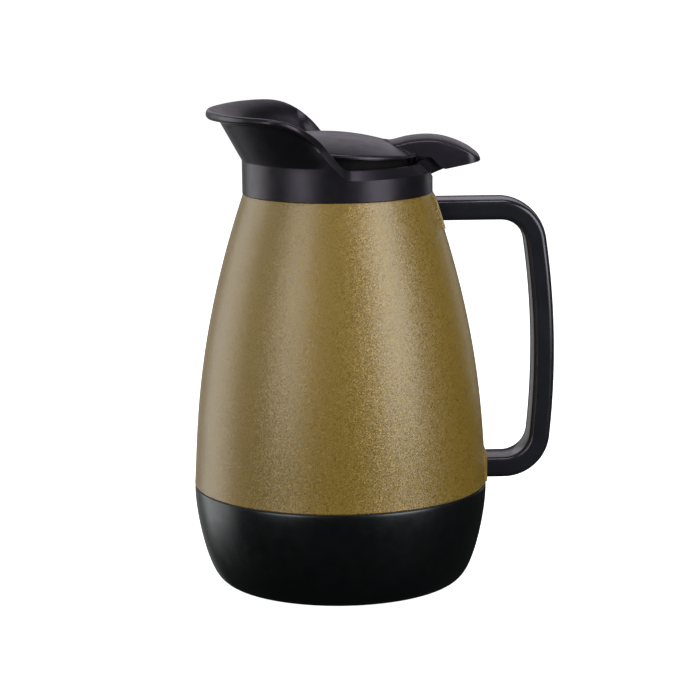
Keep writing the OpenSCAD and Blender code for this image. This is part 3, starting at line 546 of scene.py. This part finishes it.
# Handle: a solid loop of polished black plastic with crowned faces, swept in one run from
# the upper pad over the grip to the lower pad, and held by a screw through each pad.
handle_black = black_finish(
    "handle_black_plastic", (0.0112, 0.0118, 0.0150), 0.2, 9, 0.03, 1.5, (0.9, 0.87, 1.0))
handle_width, handle_thick, handle_crown, handle_edge = 20.0, 8.3, 0.7, 2.0
grip_x, grip_r, bend_r = 88.8, 349.0, 15.6
grip_z = (arm_high + arm_low) / 2 - 6.5
high_turn = asin((arm_high - bend_r - grip_z) / (grip_r - bend_r))
low_turn = asin((arm_low + bend_r - grip_z) / (grip_r - bend_r))
high_x = grip_x - grip_r + (grip_r - bend_r) * cos(high_turn)
low_x = grip_x - grip_r + (grip_r - bend_r) * cos(low_turn)
pad_gap = 0.05
high_end = shell_radius(arm_high) + pad_proud[arm_high] + pad_gap
low_end = shell_radius(arm_low) + pad_proud[arm_low] + pad_gap
path = [(high_end + (high_x - high_end) * k / 12, arm_high) for k in range(12)]
for k in range(24):
    turn = (pi / 2 - high_turn) * k / 24
    path.append((high_x + bend_r * sin(turn), arm_high - bend_r + bend_r * cos(turn)))
for k in range(60):
    turn = high_turn + (low_turn - high_turn) * k / 60
    path.append((grip_x - grip_r + grip_r * cos(turn), grip_z + grip_r * sin(turn)))
for k in range(24):
    turn = low_turn - (pi / 2 + low_turn) * k / 24
    path.append((low_x + bend_r * cos(turn), arm_low + bend_r + bend_r * sin(turn)))
path += [(low_x + (low_end - low_x) * k / 6, arm_low) for k in range(7)]


def handle_tree():
    """Node tree that sweeps a crowned, round-cornered section along the piece's own path."""
    tree = bpy.data.node_groups.new("handle_sweep", "GeometryNodeTree")
    face = tree.interface
    face.new_socket("Path", in_out="INPUT", socket_type="NodeSocketGeometry")
    for label in ("Width", "Thickness", "Crown", "Edge Radius"):
        face.new_socket(label, in_out="INPUT", socket_type="NodeSocketFloat")
    face.new_socket("Finish", in_out="INPUT", socket_type="NodeSocketMaterial")
    face.new_socket("Mesh", in_out="OUTPUT", socket_type="NodeSocketGeometry")
    add, link = tree.nodes.new, tree.links.new
    given, made = add("NodeGroupInput"), add("NodeGroupOutput")
    flat = add("GeometryNodeCurvePrimitiveQuadrilateral")
    link(given.outputs["Width"], flat.inputs["Width"])
    link(given.outputs["Thickness"], flat.inputs["Height"])
    corner = add("GeometryNodeFilletCurve")
    corner.mode = "POLY"
    corner.inputs["Count"].default_value = 8
    link(flat.outputs["Curve"], corner.inputs["Curve"])
    link(given.outputs["Edge Radius"], corner.inputs["Radius"])
    fine = add("GeometryNodeResampleCurve")
    fine.inputs["Count"].default_value = 88
    link(corner.outputs["Curve"], fine.inputs["Curve"])
    where = add("GeometryNodeInputPosition")
    parts = add("ShaderNodeSeparateXYZ")
    link(where.outputs["Position"], parts.inputs["Vector"])

    def sums(kind, a, b=None):
        """A math node of the given kind on two values or sockets."""
        node = add("ShaderNodeMath")
        node.operation = kind
        for i, value in enumerate((a, b)):
            if isinstance(value, (int, float)):
                node.inputs[i].default_value = value
            elif value is not None:
                link(value, node.inputs[i])
        return node.outputs[0]

    half = sums("MULTIPLY", given.outputs["Width"], 0.5)
    across = sums("DIVIDE", parts.outputs["X"], half)
    fall = sums("SUBTRACT", 1.0, sums("MULTIPLY", across, across))
    bulge = sums("MULTIPLY", fall, given.outputs["Crown"])
    share = sums("DIVIDE", parts.outputs["Y"], sums("MULTIPLY", given.outputs["Thickness"], 0.5))
    push = add("ShaderNodeCombineXYZ")
    link(sums("MULTIPLY", bulge, share), push.inputs["Y"])
    crowned = add("GeometryNodeSetPosition")
    link(fine.outputs["Curve"], crowned.inputs["Geometry"])
    link(push.outputs["Vector"], crowned.inputs["Offset"])
    aim = add("GeometryNodeSetCurveNormal")
    aim.mode = "FREE"
    aim.inputs["Normal"].default_value = (0, 1, 0)
    link(given.outputs["Path"], aim.inputs["Curve"])
    sweep = add("GeometryNodeCurveToMesh")
    sweep.inputs["Fill Caps"].default_value = True
    link(aim.outputs["Curve"], sweep.inputs["Curve"])
    link(crowned.outputs["Geometry"], sweep.inputs["Profile Curve"])
    real = add("GeometryNodeRealizeInstances")
    link(sweep.outputs["Mesh"], real.inputs["Geometry"])
    dress = add("GeometryNodeSetMaterial")
    link(real.outputs["Geometry"], dress.inputs["Geometry"])
    link(given.outputs["Finish"], dress.inputs["Material"])
    link(dress.outputs["Geometry"], made.inputs["Mesh"])
    return tree


line = bpy.data.curves.new("handle_path", "CURVE")
line.dimensions = "3D"
run = line.splines.new("POLY")
run.points.add(len(path) - 1)
for point, (x, z) in zip(run.points, path):
    point.co = (x * MM, 0, z * MM, 1)
sweeper = bpy.data.objects.new("handle_sweeper", line)
bpy.context.scene.collection.objects.link(sweeper)
nodes = sweeper.modifiers.new("sweep", "NODES")
nodes.node_group = handle_tree()
sizes = {"Width": handle_width * MM, "Thickness": handle_thick * MM, "Crown": handle_crown * MM}
sizes.update({"Edge Radius": handle_edge * MM, "Finish": handle_black})
for item in nodes.node_group.interface.items_tree:
    if item.item_type == "SOCKET" and item.in_out == "INPUT" and item.name in sizes:
        nodes[item.identifier] = sizes[item.name]
graph = bpy.context.evaluated_depsgraph_get()
swept = bpy.data.meshes.new_from_object(sweeper.evaluated_get(graph))
bpy.data.objects.remove(sweeper)
bm = bmesh.new()
bm.from_mesh(swept)
# The upper arm's end is cut to the lean of its pad.
for v in bm.verts:
    if v.co.z > (arm_high - 8) * MM and v.co.x < high_x * MM:
        share = min(1.0, max(0.0, (high_x - v.co.x / MM) / (high_x - high_end)))
        v.co.x -= tan(lean) * (v.co.z - arm_high * MM) * share
assemble("loop_handle", bm, handle_black, "vessel", ["handle"], 50)

# Fixings: plain stainless screws, washers and pin, and a torsion spring of round wire
# wound round the pin. The heads and washers lie behind the shell, out of sight.


def steel_finish():
    """Plain drawn steel."""
    material, tree, shader, place = plain_finish("plain_steel", 0.28, 2.5, 1.0)
    colour = two_tones(tree, noise_at(tree, place, 2, 3.0), (0.52, 0.52, 0.51), (0.66, 0.66, 0.65))
    tree.links.new(colour, shader.inputs["Base Color"])
    tree.links.new(spread(tree, noise_at(tree, place, 0.5, 2.0), 0.22, 0.36), shader.inputs["Roughness"])
    return material


steel = steel_finish()
for node in ("handle_screws", "handle_washers", "hinge_pin", "lid_spring", "lid_screws"):
    refinish(node, steel)

# Lid cover: a shallow dome of satin black plastic with a rounded edge band. It closes the
# collar's throat, and the stopper is welded under it.
dome_r, dome_x, dome_low = 100.0, -7.0, 97.0
lid_r, lid_round, cover_t = 35.0, 0.9, 2.0


def dome_z(x, y, more=0.0):
    """Height of the dome's top face, or of a face that lies more outside it."""
    return dome_low + sqrt((dome_r + more) ** 2 - (x - dome_x) ** 2 - y * y)


def edge_plane(x):
    """Height of the edge band's slightly sloping top, x behind the axis."""
    return 190.63 - 0.07 * x


bm = bmesh.new()
flat_r = lid_r - lid_round
rings = [ring_of(bm, flat_r * k / 40, dome_z) for k in range(41)]
for k in range(1, 7):
    a = radians(90 * k / 6)
    drop = -lid_round * (1 - cos(a))
    rings.append(ring_of(bm, flat_r + lid_round * sin(a), lambda x, y: dome_z(x, y) + drop))
band_r, band_low, band_chamfer = 33.4, -1.4, 0.25
band = [(lid_r, band_low + band_chamfer), (lid_r - band_chamfer, band_low)]
band += [(band_r + band_chamfer, band_low), (band_r, band_low + band_chamfer)]
for r, under in band:
    rings.append(ring_of(bm, r, lambda x, y: edge_plane(x) + under))
for k in range(13):
    rings.append(ring_of(bm, band_r * (12 - k) / 12, lambda x, y: dome_z(x, y, -cover_t)))
skin_rings(bm, rings)
lid_black = black_finish(
    "lid_black_plastic", (0.0085, 0.0078, 0.0105), 0.34, 0.7, 0.08, 1.5, (0.92, 0.83, 1.0))
assemble("lid_dome", bm, lid_black, "lid", ["lid_cover"], 34)
# The stopper is black plastic. It is made darker and duller than the lid as painted shade for the deep
# gap seen under the lid's edge.
stopper_shade_black = black_finish("stopper_painted_shade_black", (0.0018, 0.0018, 0.0018), 0.75, 0.7, 0.1, 1.25)
refinish("lid_stopper", stopper_shade_black)

# Thumb lever: a hollow, crowned lever of satin black plastic behind the lid. Its root fans
# out over the dome, screws from inside hold it, and two knuckles under it run on the pin.
lever_half, lever_wall, lever_crown = 11.0, 2.0, 1.95
tip_x, tip_round = 61.3, 6.2
ridge = [(19.3, 192.9), (24.5, 193.45), (30.5, 194.85), (37.5, 195.5), (44.0, 195.05), (50.0, 193.4)]
ridge = spline_through(ridge + [(55.5, 190.9), (59.0, 188.45), (60.6, 187.0), (61.3, 185.7)], 8)
lower_edge = [(19.0, 187.4), (30.0, 187.3), (39.9, 186.5), (43.9, 182.3), (45.0, 181.55)]
lower_edge += [(46.2, 181.4), (62.0, 184.6)]


def height_on(marks, x):
    """Height of a line of marks at x."""
    for (x0, z0), (x1, z1) in zip(marks, marks[1:]):
        if x <= x1:
            return z0 + (z1 - z0) * (x - x0) / (x1 - x0)
    return marks[-1][1]


def half_width(x, less=0.0):
    """Half the lever's width at x; the tip is rounded in plan."""
    tip, r, w = tip_x - less, tip_round, lever_half - less
    if x <= tip - r:
        return w
    s = min(1.0, (x - tip + r) / r)
    return w - r * (1 - sqrt(max(0.0, 1 - s * s)))


def lever_loft(less, first, last, edge_r, sink=0.0):
    """Closed loft of the lever's body, smaller by less on all sides."""
    bm = bmesh.new()
    stations = [first + (last - first) * (1 - (1 - k / 70) ** 1.6) for k in range(71)]
    loops = []
    for x in stations:
        w = half_width(x, less)
        z_low = height_on(lower_edge, x) - sink
        peak = max(height_on(ridge, x) - less, z_low + 0.3)
        share = min(1.0, w / (lever_half - less))
        side_top = max(peak - lever_crown * share * share, z_low + 0.2)
        e = min(edge_r, w * 0.4, (side_top - z_low) * 0.45 + 0.01)
        corner = []
        for a in (radians(25), radians(50), radians(75)):
            corner.append((w - e * (1 - cos(a)), side_top - e + e * sin(a) + 0.12 * e * sin(a)))
        pts = [(-w, z_low + 0.01), (-w, (z_low + side_top - e) / 2), (-w, side_top - e)]
        pts += [(-y, z) for y, z in corner]
        for k in range(1, 20):
            y = -w + e + (2 * w - 2 * e) * k / 20
            pts.append((y, peak - (peak - side_top) * (y / w) ** 2))
        pts += corner[::-1]
        pts += [(w, side_top - e), (w, (z_low + side_top - e) / 2), (w, z_low + 0.01)]
        pts += [(w * 0.5, z_low), (0, z_low), (-w * 0.5, z_low)]
        loops.append([bm.verts.new((x * MM, y * MM, z * MM)) for y, z in pts])
    skin_rings(bm, loops)
    bm.faces.new(loops[0][::-1])
    bm.faces.new(loops[-1])
    return closed_mesh("lever_loft", bm)


hollow_mesh = lever_loft(lever_wall, 26.0, tip_x - lever_wall - 0.05, 0.6, 8.0)
hollow = bpy.data.objects.new("hollow", hollow_mesh)
# The room that the lid cover takes under the lever: its dome, with a little clearance.
room_r, room_low, room_gap, room_steps = 35.1, 180, 0.1, 160
bm = bmesh.new()
rings = [ring_of(bm, room_r * k / 24, lambda x, y: dome_z(x, y, room_gap), room_steps) for k in range(25)]
rings += [ring_of(bm, r, lambda x, y: room_low, room_steps) for r in (room_r, 0)]
skin_rings(bm, rings)
lid_room = bpy.data.objects.new("lid_room", closed_mesh("lid_room", bm))
lever_mesh = carve(lever_loft(0.0, 19.3, tip_x - 0.02, 1.1), [hollow, lid_room])
bm = bmesh.new()
bm.from_mesh(lever_mesh)
# The root plate lies on the dome like a fan; its edge is rounded.
root_x, root_end, fan_long, fan_wide = 19.3, 34.95, 10.7, 18
root_round, root_gap = 0.9, 0.05
plate, sheets = [], []
for k in range(41):
    x = root_x + (root_end - root_x) * (k / 40) ** 0.9
    fan_half = fan_wide * (x - root_x) / fan_long
    half = min(fan_half, sqrt(max(0.0, lid_r**2 - x * x)))
    top_row, low_row = [], []
    for j in range(33):
        s = -1 + 2 * j / 32
        s = s * (1.5 - 0.5 * s * s)
        y = s * half
        near = (fan_half - abs(y)) * fan_long / sqrt(fan_long**2 + fan_wide**2)
        lift = (0.35 + 0.5 * k / 40) * sqrt(max(0.0, 1 - (1 - min(1.0, near / root_round)) ** 2))
        top_row.append((x, y, dome_z(x, y, root_gap) + 0.02 + lift))
        low_row.append((x, y, dome_z(x, y, root_gap)))
    plate.append([bm.verts.new([c * MM for c in q]) for q in top_row])
    sheets.append([bm.verts.new([c * MM for c in q]) for q in low_row])
for grid in (plate, sheets):
    for a, b in zip(grid, grid[1:]):
        for j in range(32):
            bm.faces.new((a[j], a[j + 1], b[j + 1], b[j]))
for j in (0, 32):
    for k in range(40):
        bm.faces.new((plate[k][j], plate[k + 1][j], sheets[k + 1][j], sheets[k][j]))
for k in (0, 40):
    for j in range(32):
        bm.faces.new((plate[k][j], plate[k][j + 1], sheets[k][j + 1], sheets[k][j]))
# The two web plates end in the knuckles round the pin; their slanted foot behind it is the stop.
web = [(hinge_x - knuckle_r, hinge_z), (hinge_x - knuckle_r, 192.6), (hinge_x + 5.4, 193.4)]
web += [(46.4, 191.5), (47.0, 183.5), (45.4, 181.3)]
web += [(hinge_x + 4.21, hinge_z - 3.35), (hinge_x + 0.5, hinge_z - 2.96)]
for turn in range(-95, -180, -9):
    web.append((hinge_x + knuckle_r * cos(radians(turn)), hinge_z + knuckle_r * sin(radians(turn))))
for y0, y1 in ((-7.9, -3.2), (3.2, 7.9)):
    add_drilled_plate(bm, "web", web, y0, y1, 0.25, (1.34, -9.0, 9.0))
assemble("thumb_lever_shell", bm, lid_black, "lid", ["thumb_lever"], 34)

# Studio: a plain pale floor under a white backdrop. Two soft boxes stand in front at the left
# and right, strips and a box behind light the edges and the tops, and a soft box hangs overhead.
scene = bpy.context.scene
scene.view_settings.view_transform = "Standard"
world = bpy.data.worlds.new("studio")
scene.world = world
world.use_nodes = True
tree = world.node_tree
sky = tree.nodes["Background"]
sky.inputs["Color"].default_value = (1, 1, 1, 1)
seen = tree.nodes.new("ShaderNodeLightPath")
level = tree.nodes.new("ShaderNodeMapRange")
ambient, backdrop = 0.02, 1.0
level.inputs["To Min"].default_value = ambient
level.inputs["To Max"].default_value = backdrop
tree.links.new(seen.outputs["Is Camera Ray"], level.inputs["Value"])
tree.links.new(level.outputs["Result"], sky.inputs["Strength"])

bm = bmesh.new()
floor_r = 6.0
bmesh.ops.create_circle(bm, cap_ends=True, segments=64, radius=floor_r)
floor_mesh = bpy.data.meshes.new("floor")
bm.to_mesh(floor_mesh)
bm.free()
paper, tree, shader, place = plain_finish("pale_paper", 0.9, 1.4)
colour = two_tones(tree, noise_at(tree, place, 60, 3.0), (0.86, 0.86, 0.86), (0.88, 0.88, 0.88))
tree.links.new(colour, shader.inputs["Base Color"])
shader.inputs["Emission Color"].default_value = (1, 1, 1, 1)
shader.inputs["Emission Strength"].default_value = 1.0
floor_mesh.materials.append(paper)
floor = bpy.data.objects.new("studio_floor", floor_mesh)
floor.visible_glossy = False
floor.visible_diffuse = False
floor.visible_shadow = False
scene.collection.objects.link(floor)


def soft_box(name, bearing, distance, height, width, tall, power, tint=(1.0, 1.0, 1.0)):
    """A rectangular area light round the object; bearing 0 is at the camera, positive to its right."""
    data = bpy.data.lights.new(name, "AREA")
    data.shape = "RECTANGLE"
    data.size, data.size_y, data.energy, data.color = width, tall, power, tint
    lamp = bpy.data.objects.new(name, data)
    scene.collection.objects.link(lamp)
    a = radians(bearing)
    lamp.location = (distance * sin(a), -distance * cos(a), height)
    body_middle = Vector((0, 0, 0.1))
    aim = body_middle - lamp.location
    lamp.rotation_euler = aim.to_track_quat("-Z", "Y").to_euler()
    lamp.visible_camera = False


soft_box("box_left", -45, 1.2, 0.48, 0.60, 1.14, 9.2)
soft_box("box_right", 48, 1.2, 0.48, 0.74, 1.14, 15.2)
soft_box("strip_left", -116, 1.2, 0.22, 0.90, 1.42, 8.4)
soft_box("strip_back", -165, 1.3, 0.05, 0.50, 1.3, 0.8)
soft_box("strip_right", 142, 1.3, 0.40, 0.35, 1.1, 1.0)
soft_box("box_back", 180, 1.3, 0.80, 1.6, 0.9, 3.1, (1.0, 0.93, 1.03))
soft_box("box_top", 0, 0.10, 1.35, 0.7, 0.5, 5.0, (1.0, 0.94, 1.03))

# The camera stands at the carafe's side and looks down a little, as in the photograph.
camera_data = bpy.data.cameras.new("camera")
camera_data.lens, camera_data.sensor_width = 129.45, 36
camera = bpy.data.objects.new("camera", camera_data)
scene.collection.objects.link(camera)
camera.location = (-0.03293, -1.0789, 0.3039)
forward = Vector((0.0343, 0.98227, -0.1843)).normalized()
side = forward.cross(Vector((0, 0, 1))).normalized()
upward = side.cross(forward)
roll = radians(0.56)
right = side * cos(roll) - upward * sin(roll)
camera.rotation_mode = "QUATERNION"
above = right.cross(forward)
camera.rotation_quaternion = Matrix((right, above, -forward)).transposed().to_quaternion()
scene.camera = camera
